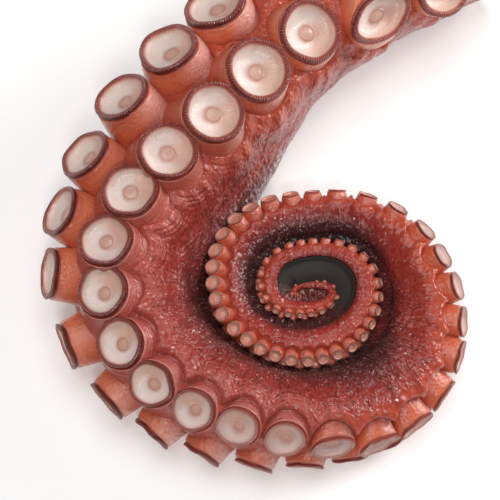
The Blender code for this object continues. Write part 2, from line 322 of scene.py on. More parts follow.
@dataclass(frozen=True)
class SuckerLayout:
    """How the two rows of suckers run along the arm, and the flank that spreads.

    `aside` is the part of a leaning stalk by which its cup stands beside its foot.
    """

    first: float = 28.3
    last: float = 554.0
    clear_of_cut: float = 11.2
    pitch: Table = Table((
        (0, 30.5), (60, 28.5), (120, 20.4), (165, 15.0), (215, 11.8), (250, 11.7),
        (300, 8.1), (345, 8.4), (385, 5.0), (430, 4.0), (500, 3.4), (530, 3.1), (545, 2.2),
        (560, 1.8),
    ))
    lead: Table = Table((
        (0, 0.45), (160, 0.45), (175, 0.2), (195, 0.2), (212, 0.3), (230, 0.4), (300, 0.5),
    ))
    width: Table = Table((
        (0, 20.0), (60, 20.6), (110, 20.4), (150, 17.6), (180, 16.0), (205, 14.6), (240, 12.2),
        (300, 10.6), (330, 8.4), (350, 6.6), (365, 5.7), (385, 5.9), (405, 5.4), (430, 4.3),
        (480, 3.1), (530, 2.2), (560, 1.1),
    ))
    reach: Table = Table((
        (0, 0.5), (90, 0.5), (130, 0.7), (170, 0.6), (205, 0.5), (235, 0.42), (262, 0.38),
        (284, 0.64), (312, 0.64), (345, 0.55), (400, 0.85), (430, 0.95), (460, 0.65), (560, 0.75),
    ))
    flatness: Table = Table(((0, 0.04), (120, 0.08), (230, 0.24), (300, 0.2), (541, 0.2)))
    spread: Table = Table((
        (90, 0), (130, 10), (200, 12), (260, 11), (385, 11), (420, 10), (445, 9.6), (470, 9.2),
        (500, 9), (512, 6.4), (530, 3.9), (545, 2.7), (562, 1.3),
    ))
    spread_middle: float = 222.0
    spread_sharpness: float = 1.5
    aside: float = 0.7

    def middle(self, distance: np.ndarray) -> np.ndarray:
        """Give the angle, in radians, half way between the rows."""
        both = UPPER_TABLES.angle.at(distance) + LOWER_TABLES.angle.at(distance)
        return np.radians(0.5 * both)

    def surface(self, route: Route, distance: np.ndarray, angle: np.ndarray) -> np.ndarray:
        """Give the smooth skin's distance from the centre line.

        It is the half thickness, less a share of it times cos^2 on the suckers' side, more
        the spread times cos^2 on the low flank inside the curl.
        """
        facing = np.maximum(0.0, np.cos(angle - self.middle(distance)))
        off = self.spread_sharpness * wrap_angle(angle - math.radians(self.spread_middle))
        inner = np.where(np.abs(off) < 0.5 * math.pi, np.cos(off) ** 2, 0.0)
        flat = self.flatness.at(distance) * facing**2
        return route.radius(distance) * (1.0 - flat) + self.spread.at(distance) * inner

    def places(self) -> list[tuple[float, Row]]:
        """Give each sucker's distance along the arm and its row."""
        places = []
        place = self.first - float(self.pitch.at(0.0))
        while place < self.last:
            pitch = float(self.pitch.at(place))
            pitch = float(self.pitch.at(place + 0.5 * pitch))
            places.append((place, Row.UPPER))
            places.append((place + float(self.lead.at(place)) * pitch, Row.LOWER))
            place += pitch
        return [(place, row) for place, row in places if place > self.clear_of_cut]

    def suckers(self, route: Route) -> list[Sucker]:
        """Stand every sucker on the arm.

        Args:
            route: the arm's centre line.

        Returns:
            The suckers from the base to the tip.
        """
        made = []
        for place, row in self.places():
            tables = UPPER_TABLES if row is Row.UPPER else LOWER_TABLES
            angle = math.radians(float(tables.angle.at(place)))
            lean = math.radians(float(tables.lean.at(place)))
            back = math.radians(float(tables.back.at(place)))
            heading, outward, upward = route.directions(place)
            surface = float(self.surface(route, place, angle))
            spoke = math.cos(angle) * outward + math.sin(angle) * upward
            facing = math.cos(angle + lean) * outward + math.sin(angle + lean) * upward
            width = float(self.width.at(place))
            stalk = float(route.radius(place)) + width * float(self.reach.at(place)) - surface
            foot = route.centre(place) + surface * spoke
            over = np.cross(facing, heading)
            leant = math.cos(back) * facing - math.sin(back) * heading
            shift = (-self.aside * math.sin(back) * stalk, self.aside * math.sin(lean) * stalk)
            made.append(Sucker(
                place, angle, row, width, stalk, surface, float(tables.mound.at(place)),
                float(tables.sleeve.at(place)), float(tables.squeeze.at(place)), shift,
                foot, leant, np.cross(over, facing if row is Row.UPPER else leant), over,
            ))
        return made


class MeshParts:
    """Vertices, faces and named values that grow into one Blender mesh."""

    def __init__(self) -> None:
        """Start with nothing."""
        self.points: list[np.ndarray] = []
        self.faces: list[tuple[np.ndarray, int]] = []
        self.values: dict[str, list[np.ndarray]] = {}
        self.count = 0

    def add_points(self, points: np.ndarray, **values: np.ndarray) -> int:
        """Add vertices with their named values.

        Args:
            points: positions in millimetres, last axis x, y, z.
            **values: one number or three for each vertex.

        Returns:
            The first new vertex's number.
        """
        first = self.count
        flat = points.reshape(-1, 3)
        self.points.append(flat)
        self.count += len(flat)
        for name, value in values.items():
            width = 3 if value.ndim == points.ndim else 1
            self.values.setdefault(name, []).append(value.reshape(-1, width))
        return first

    def add_faces(self, faces: np.ndarray, material: int = 0) -> None:
        """Add faces as rows of vertex numbers, all of one finish."""
        self.faces.append((faces, material))

    def join_rings(self, first: int, rings: int, sides: int, inward: bool = False,
                   material: int = 0) -> None:
        """Span rings of vertices that follow each other with four-sided faces.

        Args:
            first: number of the first ring's first vertex.
            rings: how many rings there are.
            sides: vertices in each ring.
            inward: True if the plain order would turn the faces' backs outwards.
            material: number of the faces' finish.
        """
        corner = np.arange(sides)
        after = (corner + 1) % sides
        start = first + sides * np.arange(rings - 1)[:, None]
        order = (start + corner, start + after, start + after + sides, start + corner + sides)
        faces = np.stack(order[::-1] if inward else order, axis=-1)
        self.add_faces(faces.reshape(-1, 4), material)

    def join_to_point(self, first: int, sides: int, point: int, inward: bool = False,
                      material: int = 0) -> None:
        """Close a ring of vertices with a fan of triangles to one vertex.

        Args:
            first: number of the ring's first vertex.
            sides: vertices in the ring.
            point: number of the one vertex.
            inward: True if the plain order would turn the faces' backs outwards.
            material: number of the faces' finish.
        """
        corner = first + np.arange(sides)
        after = first + (np.arange(sides) + 1) % sides
        order = (corner, after, np.full(sides, point))
        self.add_faces(np.stack(order[::-1] if inward else order, axis=-1), material)

    def join_to_half(self, first: int, half_first: int, half: int) -> None:
        """Join a ring to one of half as many vertices with triangles.

        Args:
            first: number of the fuller ring's first vertex.
            half_first: number of the other ring's first vertex.
            half: vertices in the other ring.
        """
        corner = np.arange(half)
        fine = first + 2 * corner
        fine_next = first + (2 * corner + 2) % (2 * half)
        coarse = half_first + corner
        coarse_next = half_first + (corner + 1) % half
        self.add_faces(np.stack((fine, coarse, fine + 1), axis=-1))
        self.add_faces(np.stack((fine + 1, coarse, coarse_next), axis=-1))
        self.add_faces(np.stack((fine + 1, coarse_next, fine_next), axis=-1))

    def build(self, name: str, finishes: list[bpy.types.Material]) -> bpy.types.Object:
        """Make the object, smooth-shaded, with its values as attributes.

        Args:
            name: the piece's name.
            finishes: its materials, by the numbers given with the faces.

        Returns:
            The new object, standing at the origin.
        """
        mesh = bpy.data.meshes.new(name)
        points = np.concatenate(self.points) * METRES_PER_MM
        faces = [row for block, _ in self.faces for row in block.tolist()]
        mesh.from_pydata(points.tolist(), [], faces)
        chosen = np.concatenate([np.full(len(block), index) for block, index in self.faces])
        mesh.polygons.foreach_set("material_index", chosen.astype(np.int32))
        for key, blocks in self.values.items():
            value = np.concatenate(blocks)
            kind, slot = ("FLOAT_VECTOR", "vector") if value.shape[1] == 3 else ("FLOAT", "value")
            attribute = mesh.attributes.new(key, kind, "POINT")
            attribute.data.foreach_set(slot, value.astype(np.float32).ravel())
        for finish in finishes:
            mesh.materials.append(finish)
        mesh.shade_smooth()
        mesh.validate()
        made = bpy.data.objects.new(name, mesh)
        bpy.context.scene.collection.objects.link(made)
        triangles = sum(len(block) * (block.shape[1] - 2) for block, _ in self.faces)
        LOG.info("%s: %d triangles", name, triangles)
        return made


@dataclass(frozen=True)
class SkinRelief:
    """What stands up from the smooth arm: mounds, pleats, lumps, wrinkles and pebbles.

    A pair says where something starts and ends: in sucker widths from a foot, or for the
    bare inner flank of the curl in radians off its outer side and in millimetres along it.
    The least shares are what is left of wrinkles and pebbles where the arm is thin.
    """

    mound_slope: Pair = (0.46, 1.2)
    pleat_start: Pair = (0.5, 0.62)
    pleat_end: Pair = (0.7, 1.05)
    pleat_turns: Pair = (13.0, 7.0)
    pleat_height: float = 0.018
    foot_slope: Pair = (0.5, 0.95)
    foot_calm: float = 0.7
    cup_slope: Pair = (0.4, 0.56)
    bare_turn: float = 0.1
    bare_angle: Pair = (2.2, 2.6)
    bare_distance: Pair = (425.0, 445.0)
    full_radius: float = 12.0
    lump_height: float = 0.5
    lump_length: float = 11.0
    warp_height: float = 0.9
    warp_length: float = 7.0
    wrinkle_height: float = 0.25
    wrinkle_lengths: Triple = (3.0, 6.0, 6.0)
    wrinkle_least: float = 0.12
    wrinkle_finer: float = 1.9
    pebble_height: float = 0.1
    pebble_length: float = 1.5
    pebble_least: float = 0.4
    apart: Triple = (11.0, 5.0, 3.0)
    noise: LatticeNoise = field(default_factory=lambda: LatticeNoise(7))

    def straightened(self, route: Route, distance: np.ndarray, angle: np.ndarray) -> np.ndarray:
        """Give places on the arm as if it were straight, in millimetres."""
        radius = route.radius(distance)
        parts = (distance, radius * np.cos(angle), radius * np.sin(angle))
        return np.stack(np.broadcast_arrays(*parts), axis=-1)

    def feet(self, suckers: list[Sucker], distance: np.ndarray,
             angle: np.ndarray) -> tuple[np.ndarray, np.ndarray]:
        """Raise the skin round each sucker's foot.

        A mound is h w (1 - step(t)), t being the distance from the foot in widths w, and
        pleats round it are a cosine of the turn round the foot. Mounds join as the cube
        root of their summed cubes, and fall away where a sucker's own cup stands.

        Args:
            suckers: all suckers of the arm.
            distance: places along the arm.
            angle: places round the arm, of the same shape.

        Returns:
            The rise in millimetres and the nearness to a foot from 0 to 1.
        """
        cubes = np.zeros(distance.shape)
        pleats = np.zeros(distance.shape)
        nearness = np.zeros(distance.shape)
        clear = np.ones(distance.shape)
        many, few = self.pleat_turns
        for number, sucker in enumerate(suckers):
            near = np.abs(distance - sucker.place) < self.mound_slope[1] * sucker.width
            if not near.any():
                continue
            along = distance[near] - sucker.place
            across = wrap_angle(angle[near] - sucker.angle) * sucker.surface
            share = np.hypot(along, across) / sucker.width
            rise = 1.0 - smooth_step(*self.mound_slope, share)
            cubes[near] += (sucker.mound * sucker.width * rise) ** 3
            turn = np.arctan2(across, along)
            ring = smooth_step(*self.pleat_start, share) * (1.0 - smooth_step(*self.pleat_end, share))
            wave = np.cos(many * turn + number) + 0.7 * np.cos(few * turn + 2.3 * number)
            pleats[near] += self.pleat_height * sucker.width * ring * wave
            nearness[near] = np.maximum(nearness[near], 1.0 - smooth_step(*self.foot_slope, share))
            aside = np.hypot(along - sucker.shift[0], across - sucker.shift[1]) / sucker.width
            clear[near] *= smooth_step(*self.cup_slope, aside)
        return clear * (np.cbrt(cubes) + pleats), nearness

    def rise(self, route: Route, suckers: list[Sucker], distance: np.ndarray,
             angle: np.ndarray) -> tuple[np.ndarray, np.ndarray]:
        """Raise the skin as a whole.

        Wrinkles are folded noise, 1 - 2|n|, drawn out across the arm, with finer ones at
        half the height; lumps and pebbles are plain noise.

        Args:
            route: the arm's centre line.
            suckers: all suckers of the arm.
            distance: places along the arm.
            angle: places round the arm, of the same shape.

        Returns:
            The rise in millimetres and the nearness to a foot from 0 to 1.
        """
        straight = self.straightened(route, distance, angle)
        feet, nearness = self.feet(suckers, distance, angle)
        lump = self.noise.at(straight / self.lump_length)
        drawn = straight / self.wrinkle_lengths
        drawn[..., 0] += self.warp_height * self.noise.at(straight / self.warp_length + self.apart[0])
        wrinkle = 1.0 - 2.0 * np.abs(self.noise.at(drawn))
        finer = self.noise.at(drawn * self.wrinkle_finer + self.apart[1])
        wrinkle += 0.5 * (1.0 - 2.0 * np.abs(finer))
        pebble = self.noise.at(straight / self.pebble_length + self.apart[2])
        bare = smooth_step(*self.bare_angle, np.abs(wrap_angle(angle + self.bare_turn)))
        covered = 1.0 - bare * smooth_step(*self.bare_distance, distance)
        scale = np.clip(route.radius(distance) / self.full_radius, 0.0, 1.0) * covered
        scale = scale * (1.0 - self.foot_calm * nearness)
        rise = feet + scale * self.lump_height * lump
        for least, height, shape in (
            (self.wrinkle_least, self.wrinkle_height, wrinkle),
            (self.pebble_least, self.pebble_height, pebble),
        ):
            rise += covered * (least + (1.0 - least) * scale) * height * shape
        return rise, nearness


@dataclass(frozen=True)
class ArmSkin:
    """The arm's closed skin, from the pale cut face to the tip.

    Each band has where it ends along the arm, the step between its rings and its columns
    round the arm, half as many as in the band before.
    """

    bands: tuple[tuple[float, float, int], ...] = ((225.0, 0.7, 176), (410.0, 0.62, 88), (562.4, 0.55, 44))
    underside_share: float = 0.35
    underside_slope: Pair = (-0.55, 0.1)
    turn_samples: int = 721
    face_rings: int = 14
    face_hollow: float = 1.2
    face_ripple: float = 2.5
    relief: SkinRelief = field(default_factory=SkinRelief)

    def columns(self, count: int) -> np.ndarray:
        """Space columns round the arm, closer on the upper side than underneath."""
        fine = np.linspace(-0.5 * math.pi, 1.5 * math.pi, self.turn_samples)
        side = smooth_step(*self.underside_slope, np.sin(fine))
        density = self.underside_share + (1.0 - self.underside_share) * side
        total = np.concatenate([[0.0], np.cumsum(0.5 * (density[1:] + density[:-1]))])
        return np.interp(np.arange(count) / count, total / total[-1], fine)

    def add_band(self, parts: MeshParts, places: np.ndarray, angles: np.ndarray,
                 route: Route, layout: SuckerLayout, suckers: list[Sucker]) -> int:
        """Add the rings of one band: the centre plus (surface + rise) along the spoke.

        Args:
            parts: the mesh that takes them.
            places: the rings' distances along the arm.
            angles: the columns' angles round it.
            route: the arm's centre line.
            layout: the arm's smooth surface.
            suckers: all suckers of the arm.

        Returns:
            The band's first vertex's number.
        """
        distance, angle = np.meshgrid(places, angles, indexing="ij")
        _, outward, upward = route.directions(distance)
        rise, nearness = self.relief.rise(route, suckers, distance, angle)
        reach = layout.surface(route, distance, angle) + rise
        spoke = np.cos(angle)[..., None] * outward + np.sin(angle)[..., None] * upward
        points = rest_on_floor(route.centre(distance) + reach[..., None] * spoke)
        turned = np.abs(wrap_angle(angle - layout.middle(distance))) / math.pi
        straight = self.relief.straightened(route, distance, angle) / NOISE_STEP
        share = distance / route.length
        return parts.add_points(points, straight=straight, oral=turned, foot=nearness, station=share)

    def add_face(self, parts: MeshParts, edge: np.ndarray, straight: np.ndarray) -> None:
        """Add the cut face: rings that shrink from the skin's edge to the middle.

        Args:
            parts: the mesh, whose first vertices are the skin's first ring.
            edge: the first ring's points.
            straight: the first ring's straightened places.
        """
        sides = len(edge)
        middle = edge.mean(axis=0)
        share = np.linspace(1.0, 0.0, self.face_rings + 1)[1:-1, None]
        heading = np.cross(edge[sides // 4] - middle, edge[0] - middle)
        heading = heading / np.linalg.norm(heading)
        if heading[1] > 0.0:
            heading = -heading
        inner = straight * share[..., None]
        ripple = self.relief.noise.at(inner * self.face_ripple)
        sunk = self.face_hollow * (1.0 - share**4) * (0.6 + 0.5 * ripple)
        points = middle + share[..., None] * (edge - middle) + sunk[..., None] * heading
        flat = np.ones(points.shape[:2])
        first = parts.add_points(points, straight=inner, oral=flat * share, foot=0 * flat, station=0 * flat)
        tip = middle + 0.5 * self.face_hollow * heading
        none = np.zeros(1)
        point = parts.add_points(tip[None], straight=np.zeros((1, 3)), oral=none, foot=none, station=none)
        corner = np.arange(sides)
        after = (corner + 1) % sides
        edge_faces = np.stack((corner, after, first + after, first + corner), axis=-1)
        parts.add_faces(edge_faces, CUT_FLESH)
        rings = self.face_rings - 1
        parts.join_rings(first, rings, sides, material=CUT_FLESH)
        parts.join_to_point(first + sides * (rings - 1), sides, point, material=CUT_FLESH)

    def build(self, route: Route, layout: SuckerLayout, suckers: list[Sucker],
              finishes: list[bpy.types.Material]) -> bpy.types.Object:
        """Make the skin in bands, each with half the columns of the one before.

        Args:
            route: the arm's centre line.
            layout: the arm's smooth surface.
            suckers: all suckers of the arm.
            finishes: the skin's material and the cut face's.

        Returns:
            The skin's object.
        """
        parts = MeshParts()
        start = 0.0
        previous = None
        sides = self.bands[0][2]
        for end, step, count in self.bands:
            places = np.arange(start, end, step)
            angles = self.columns(sides)[:: sides // count]
            first = self.add_band(parts, places, angles, route, layout, suckers)
            if previous is not None:
                parts.join_to_half(previous, first, count)
            parts.join_rings(first, len(places), count, inward=True)
            previous = first + count * (len(places) - 1)
            start = places[-1] + step
        tip = route.centre(route.length)[None]
        one = np.ones(1)
        straight = np.array([[route.length / NOISE_STEP, 0.0, 0.0]])
        point = parts.add_points(tip, straight=straight, oral=0.5 * one, foot=one, station=one)
        parts.join_to_point(previous, self.bands[-1][2], point, inward=True)
        self.add_face(parts, parts.points[0][:sides], parts.values["straight"][0][:sides])
        return parts.build("arm_skin", finishes)


@dataclass(frozen=True)
class SuckerShape:
    """How a sucker is turned: a profile in shares of its width and of its stalk.

    Each profile row is the zone, the radius in widths, the height in stalks and the height
    added in widths. Zones run 0 to 0.25 up the stalk, to 0.5 over the rim, to 0.75 across
    the cup and to 1 at the middle of its button. A sleeved sucker stands in a collar of
    skin that hides its stalk. A pair is a slope over zones, or over widths as shares of
    the widest rim. No foot comes nearer to the cut face than `inside_cut` millimetres.
    """

    stalk: Profile = (
        (0.000, 0.690, 0.00, -0.300), (0.020, 0.640, 0.00, -0.090), (0.050, 0.570, 0.12, 0.000),
        (0.090, 0.520, 0.32, 0.000), (0.130, 0.500, 0.52, 0.000), (0.170, 0.498, 0.72, 0.000),
        (0.200, 0.502, 0.90, -0.050), (0.225, 0.498, 1.00, -0.110), (0.242, 0.482, 1.00, -0.096),
    )
    collar: Profile = (
        (0.000, 0.880, 0.00, -0.300), (0.020, 0.840, 0.00, -0.100), (0.050, 0.755, 0.22, 0.000),
        (0.090, 0.640, 0.38, 0.000), (0.130, 0.583, 0.62, -0.030), (0.170, 0.555, 0.88, -0.090),
        (0.200, 0.543, 1.00, -0.092), (0.225, 0.520, 1.00, -0.112), (0.242, 0.484, 1.00, -0.135),
    )
    cup: Profile = (
        (0.262, 0.490, 1.00, -0.072), (0.285, 0.503, 1.00, -0.048), (0.320, 0.506, 1.00, -0.020),
        (0.355, 0.494, 1.00, 0.000), (0.400, 0.468, 1.00, 0.008), (0.445, 0.440, 1.00, 0.000),
        (0.480, 0.418, 1.00, -0.020), (0.500, 0.405, 1.00, -0.044), (0.530, 0.392, 1.00, -0.078),
        (0.570, 0.362, 1.00, -0.120), (0.630, 0.290, 1.00, -0.158), (0.690, 0.215, 1.00, -0.182),
        (0.730, 0.150, 1.00, -0.192), (0.760, 0.128, 1.00, -0.182), (0.790, 0.112, 1.00, -0.176),
        (0.820, 0.098, 1.00, -0.180), (0.860, 0.078, 1.00, -0.178), (0.930, 0.042, 1.00, -0.170),
    )
    cup_middle: float = -0.167
    foot_depth: float = -0.3
    sleeved_cup: float = 0.045
    sleeved_slope: Pair = (0.36, 0.48)
    bulge: float = 0.06
    bulge_least: float = 0.7
    bulge_top: float = 0.24
    largest: Pair = (0.82, 1.0)
    smallest: Pair = (0.27, 0.36)
    knob_waist: float = 0.09
    waist_slope: Pair = (0.16, 0.3)
    wobble: float = 0.035
    rim_wave: float = 0.02
    wave_start: Pair = (0.1, 0.26)
    wave_end: Pair = (0.5, 0.72)
    mouth_slope: Pair = (0.08, 0.24)
    mouth_longer: float = 0.4
    mouth_shorter: float = 0.8
    inside_cut: float = 1.8
    apart: float = 1.7

    def rings(self, steps: int, sleeve: float) -> np.ndarray:
        """Round the profile: cubic pieces through its rows, or every second row if steps is 0.

        Args:
            steps: points on each piece.
            sleeve: 0 for a bare stalk, 1 for one that stands in its collar.

        Returns:
            Rows of zone, radius, height in stalks and height in widths.
        """
        stalk = (1.0 - sleeve) * np.array(self.stalk) + sleeve * np.array(self.collar)
        cup = np.array(self.cup)
        cup[:, 1] *= 1.0 + sleeve * self.sleeved_cup * smooth_step(*self.sleeved_slope, cup[:, 0])
        rows = np.concatenate([stalk, cup])
        if steps == 0:
            return rows[::2]
        return cubic_pieces(rows, rows[:, 0], steps)

    def waves(self, number: int, turn: np.ndarray) -> tuple[np.ndarray, np.ndarray]:
        """Give slow waves round a sucker, sums of cos(k turn + phase) / k with k from 2 to 6.

        Args:
            number: the sucker's number, which seeds its draws.
            turn: angles round the sucker.

        Returns:
            The waves of its radius and of its height.
        """
        draw = np.random.default_rng(100 + number)
        waves = np.zeros(turn.shape)
        lift = np.zeros(turn.shape)
        for order in range(2, 7):
            waves += draw.normal() * np.cos(order * turn + draw.uniform(0, 6.3)) / order
            lift += draw.normal() * np.cos(order * turn + draw.uniform(0, 6.3)) / order
        return waves, lift

    def outline(self, rows: np.ndarray, sucker: Sucker, waves: np.ndarray,
                lift: np.ndarray) -> tuple[np.ndarray, np.ndarray]:
        """Give a sucker's radius in widths and its height, by profile row and turn.

        Stalks bulge as sin^2 of the way up, and the smallest narrow to a waist.

        Args:
            rows: the rounded profile.
            sucker: the sucker.
            waves: the waves of its radius.
            lift: the waves of its height.

        Returns:
            The radius in widths and the height in millimetres.
        """
        zone = rows[:, 0:1]
        share = sucker.width / WIDEST_RIM
        knob = 1.0 - smooth_step(*self.smallest, share)
        more = (1.0 - self.bulge_least) * (smooth_step(*self.largest, share) + knob)
        barrel = self.bulge * (1.0 - sucker.sleeve) * (self.bulge_least + more)
        radius = rows[:, 1:2] * (1.0 - self.knob_waist * knob * smooth_step(*self.waist_slope, zone))
        radius = radius + barrel * np.sin(math.pi * np.clip(zone / self.bulge_top, 0.0, 1.0)) ** 2
        upper = smooth_step(*self.wave_start, zone) * (1.0 - smooth_step(*self.wave_end, zone))
        height = rows[:, 2:3] * sucker.stalk + rows[:, 3:4] * sucker.width
        height = height + self.rim_wave * sucker.width * upper * lift
        return radius * (1.0 + self.wobble * upper * waves), height

    def add(self, parts: MeshParts, sucker: Sucker, number: int, sides: int, steps: int) -> None:
        """Add one sucker: the profile turned round its axis and bent by slow waves.

        Args:
            parts: the mesh that takes it.
            sucker: where it stands.
            number: its number, which seeds its own shape.
            sides: vertices round it.
            steps: points on each piece of the profile.
        """
        rows = self.rings(steps, sucker.sleeve)
        turn = 2.0 * math.pi * np.arange(sides) / sides
        radius, height = self.outline(rows, sucker, *self.waves(number, turn))
        mouth = sucker.squeeze * smooth_step(*self.mouth_slope, rows[:, 0:1])
        across = radius * sucker.width * (1.0 + self.mouth_longer * mouth) * np.cos(turn)
        across = np.maximum(across, self.inside_cut - sucker.place)
        over = radius * sucker.width * (1.0 - self.mouth_shorter * mouth) * np.sin(turn)
        points = sucker.foot + height[..., None] * sucker.facing
        points = points + across[..., None] * sucker.heading + over[..., None] * sucker.over
        full = np.ones(points.shape[:2])
        offset = self.apart * number
        local = np.stack((across, over, height), axis=-1) / NOISE_STEP + offset
        spin = np.stack((np.cos(turn) * full, np.sin(turn) * full, sucker.sleeve * full), axis=-1)
        size = sucker.width / WIDEST_RIM
        zone = rows[:, 0:1] * full
        first = parts.add_points(rest_on_floor(points), zone=zone, size=size * full, local=local, spin=spin)
        parts.join_rings(first, len(rows), sides)
        last = first + sides * (len(rows) - 1)
        top = sucker.stalk + self.cup_middle * sucker.width
        bottom = self.foot_depth * sucker.width
        for ring, depth, at_zone in ((last, top, 1.0), (first, bottom, 0.0)):
            place = (sucker.foot + depth * sucker.facing)[None]
            point = parts.add_points(
                rest_on_floor(place), zone=np.array([at_zone]), size=np.array([size]),
                local=np.full((1, 3), offset), spin=np.array([[1.0, 0.0, sucker.sleeve]]),
            )
            parts.join_to_point(ring, sides, point, inward=ring == first)


@dataclass(frozen=True)
class SuckerGroup:
    """Suckers of about one size, made as one piece."""

    name: str
    widest: float
    narrowest: float
    sides: int
    steps: int
    rows: tuple[Row, ...] = (Row.UPPER, Row.LOWER)

    def build(self, suckers: list[Sucker], shape: SuckerShape,
              finish: bpy.types.Material) -> bpy.types.Object:
        """Make the group's piece.

        Args:
            suckers: all suckers of the arm, of which the group takes its own.
            shape: how a sucker is turned.
            finish: the material of all its suckers.

        Returns:
            The piece's object.
        """
        parts = MeshParts()
        for number, sucker in enumerate(suckers):
            if self.narrowest <= sucker.width < self.widest and sucker.row in self.rows:
                shape.add(parts, sucker, number, self.sides, self.steps)
        return parts.build(self.name, [finish])


@dataclass(frozen=True)
class Span:
    """A smooth passage: low is carried to start and high to end, held beyond both."""

    low: float
    high: float
    start: float = 0.0
    end: float = 1.0


@dataclass(frozen=True)
class Zone:
    """A part of the skin, by spans of its share along the arm and of its turn off the suckers."""

    along: tuple[Span, ...]
    turned: tuple[Span, ...] = ()


@dataclass(frozen=True)
class Cloud:
    """Noise of one scale and detail that is carried through a span."""

    scale: float
    detail: float
    span: Span


@dataclass(frozen=True)
class Film:
    """A wet film over flesh that light goes into, as many millimetres deep as `depth` says.

    `reach` is the share of that depth for each colour.
    """

    roughness: float
    specular: float
    coat: float
    coat_roughness: float
    coat_index: float
    scatter: float
    depth: float
    reach: Triple


class Nodes:
    """A material's node tree, with short ways to add and join nodes."""

    def __init__(self, name: str) -> None:
        """Start a material with an empty shader."""
        self.material = bpy.data.materials.new(name)
        self.material.use_nodes = True
        self.tree = self.material.node_tree
        self.shader = self.tree.nodes["Principled BSDF"]

    def put(self, socket: Socket, value: Input) -> None:
        """Link a socket to another one, or set it to a value."""
        if isinstance(value, bpy.types.NodeSocket):
            self.tree.links.new(value, socket)
        else:
            socket.default_value = value

    def feed(self, node: bpy.types.Node, **inputs: Input) -> bpy.types.Node:
        """Set or link a node's inputs, named with _ for each space, and give the node."""
        for name, value in inputs.items():
            self.put(node.inputs[name.replace("_", " ")], value)
        return node

    def add(self, kind: str, **inputs: Input) -> bpy.types.Node:
        """Add a node and set or link its inputs by name."""
        return self.feed(self.tree.nodes.new(kind), **inputs)

    def attribute(self, name: str, output: str = "Fac") -> Socket:
        """Read one of the mesh's named values."""
        node = self.tree.nodes.new("ShaderNodeAttribute")
        node.attribute_name = name
        return node.outputs[output]

    def math(self, operation: str, *values: Input) -> Socket:
        """Work out one number from sockets and values."""
        node = self.tree.nodes.new("ShaderNodeMath")
        node.operation = operation
        for socket, value in zip(node.inputs, values):
            self.put(socket, value)
        return node.outputs[0]

    def times(self, first: Input, *others: Input) -> Input:
        """Multiply sockets and values."""
        total = first
        for other in others:
            total = self.math("MULTIPLY", total, other)
        return total

    def stretch(self, vector: Socket, scale: Triple) -> Socket:
        """Scale a place by three factors."""
        node = self.add("ShaderNodeMapping", Vector=vector, Scale=scale)
        return node.outputs[0]

    def noise(self, vector: Socket, scale: float, detail: float) -> Socket:
        """Give noise from 0 to 1 at a place."""
        return self.add("ShaderNodeTexNoise", Vector=vector, Scale=scale, Detail=detail).outputs["Fac"]

    def range(self, value: Socket, span: Span) -> Socket:
        """Carry a value through a span."""
        node = self.tree.nodes.new("ShaderNodeMapRange")
        node.interpolation_type = "SMOOTHSTEP"
        for socket, number in zip(node.inputs, (value, span.low, span.high, span.start, span.end)):
            self.put(socket, number)
        return node.outputs[0]

    def cloud(self, vector: Socket, cloud: Cloud) -> Socket:
        """Give a cloud's value at a place."""
        return self.range(self.noise(vector, cloud.scale, cloud.detail), cloud.span)

    def ramp(self, value: Socket, stops: Stops) -> Socket:
        """Turn a number into a colour through (position, colour) stops."""
        node = self.add("ShaderNodeValToRGB", Fac=value)
        elements = node.color_ramp.elements
        while len(elements) < len(stops):
            elements.new(0.5)
        for element, (position, colour) in zip(elements, stops):
            element.position = position
            element.color = (*colour, 1.0)
        return node.outputs["Color"]

    def mix(self, share: Input, first: Input, second: Input) -> Socket:
        """Blend two colours, sockets or three numbers each, by a share from 0 to 1."""
        node = self.tree.nodes.new("ShaderNodeMix")
        node.data_type = "RGBA"
        for index, value in ((0, share), (6, first), (7, second)):
            self.put(node.inputs[index], (*value, 1.0) if isinstance(value, tuple) else value)
        return node.outputs[2]

    def bump(self, height: Socket, depth: float, before: Socket | None = None,
             strength: float = 1.0) -> Socket:
        """Tilt the surface by a height.

        Args:
            height: the height as a share of the depth.
            depth: the relief's depth in millimetres.
            before: the normal that it adds to, if any.
            strength: how far the tilt is followed, from 0 to 1.

        Returns:
            The tilted normal.
        """
        node = self.add("ShaderNodeBump", Height=height, Strength=strength, Distance=depth * METRES_PER_MM)
        if before is not None:
            self.feed(node, Normal=before)
        return node.outputs["Normal"]

    def finish(self, colour: Socket, normal: Socket, film: Film,
               cover: Input = 1.0) -> bpy.types.Material:
        """Give the shader its colour under a wet film, both with the same relief.

        Args:
            colour: the colour of the flesh.
            normal: the relief.
            film: the film and the flesh under it.
            cover: how much of the film there is, from 0 to 1.

        Returns:
            The material.
        """
        self.feed(
            self.shader, Base_Color=colour, Roughness=film.roughness, Specular_IOR_Level=film.specular,
            Coat_Weight=self.times(cover, film.coat), Coat_IOR=film.coat_index,
            Coat_Roughness=film.coat_roughness, Normal=normal, Coat_Normal=normal,
            Subsurface_Weight=film.scatter, Subsurface_Scale=film.depth * METRES_PER_MM,
            Subsurface_Radius=film.reach,
        )
        return self.material


